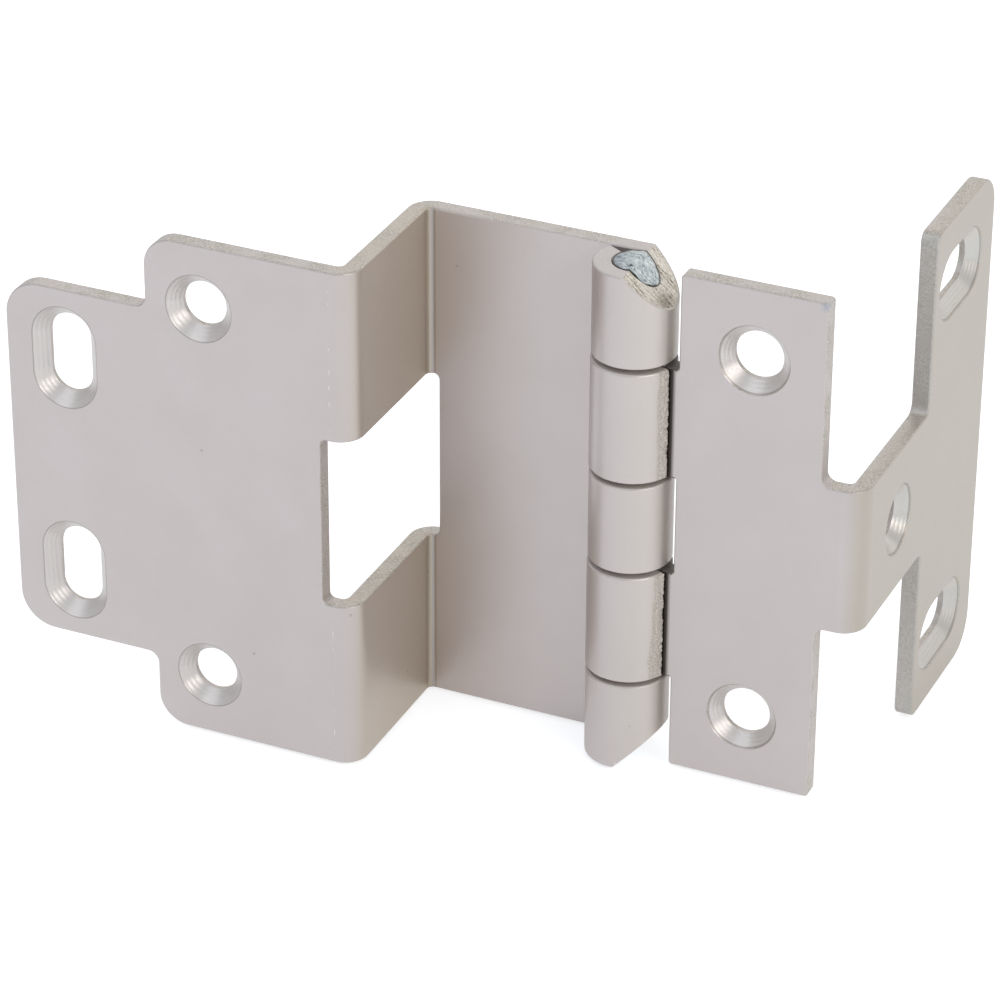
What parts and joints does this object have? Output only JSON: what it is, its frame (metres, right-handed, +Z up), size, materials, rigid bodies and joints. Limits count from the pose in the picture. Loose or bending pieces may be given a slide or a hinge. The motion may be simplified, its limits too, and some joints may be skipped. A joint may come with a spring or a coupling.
{
  "type": "cabinet hinge",
  "caption": "Wrap-around cabinet hinge of folded sheet metal with sloped barrel tips, countersunk screw holes and adjusting slots.",
  "frame": {"origin": "on the back of the frame leaf, midway between its two screw holes", "axes": "+X along the leaves from the door wing to the wrapped plate, +Y from the hinge's front to the boards behind it, +Z up along the pin"},
  "size_m": [0.109, 0.0628, 0.0698],
  "materials": {
    "coated_sheet": "satin nickel coloured coat",
    "pin_steel": "cut steel"
  },
  "bodies": {
    "frame_side": {"frame_wing": "coated_sheet"},
    "door_side": {"door_wing": "coated_sheet", "hinge_pin": "pin_steel"}
  },
  "joints": [
    {"name": "swing", "type": "hinge", "parent": "frame_side", "child": "door_side", "pos_m": [-0.0162, -0.00101, 0], "axis": [0, 0, 1], "range_deg": [-90, 180]}
  ]
}
